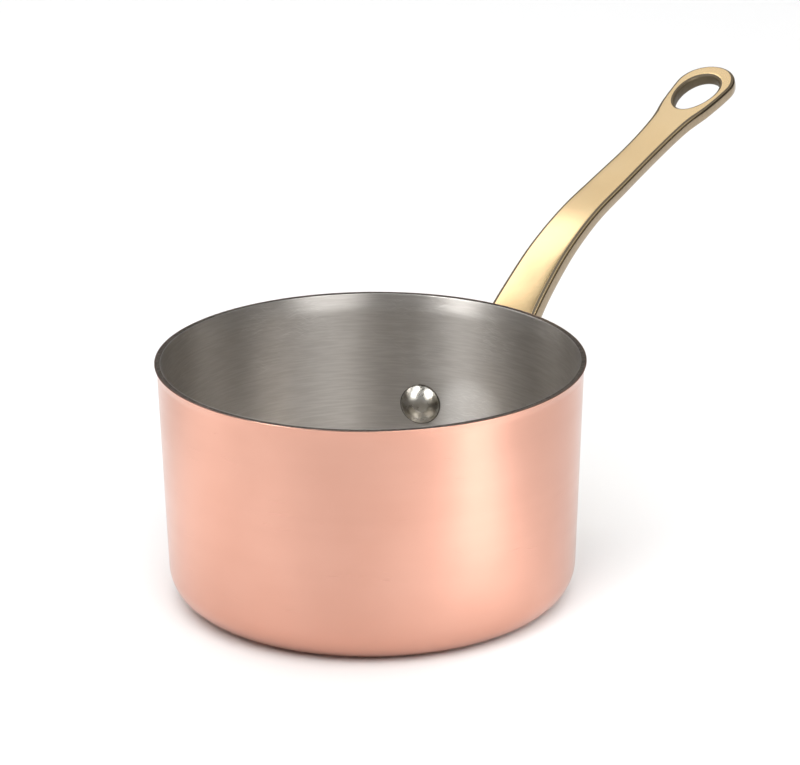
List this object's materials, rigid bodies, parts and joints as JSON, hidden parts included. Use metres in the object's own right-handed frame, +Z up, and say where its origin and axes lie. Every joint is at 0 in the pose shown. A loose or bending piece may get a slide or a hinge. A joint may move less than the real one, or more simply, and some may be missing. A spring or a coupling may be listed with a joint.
{
  "type": "saucepan",
  "caption": "Straight-sided round copper saucepan with a steel lining and a long riveted brass handle that ends in a hanging loop.",
  "frame": {"origin": "centre of the base's underside, on the pan's axis", "axes": "+Z up along the pan's axis, +X along the handle away from the pan"},
  "size_m": [0.2591, 0.124, 0.114],
  "materials": {
    "polished_copper": null,
    "ground_aluminium": "ground edge of the core, seen only at the rim",
    "brushed_lining": "satin, brushed round the pan",
    "polished_brass": "polished casting",
    "rivet_steel": "polished dome"
  },
  "bodies": {
    "root": {"copper_shell": "polished_copper", "aluminium_core": "ground_aluminium", "steel_lining": "brushed_lining", "handle": "polished_brass", "rivet_left": "rivet_steel", "rivet_right": "rivet_steel"}
  },
  "joints": []
}
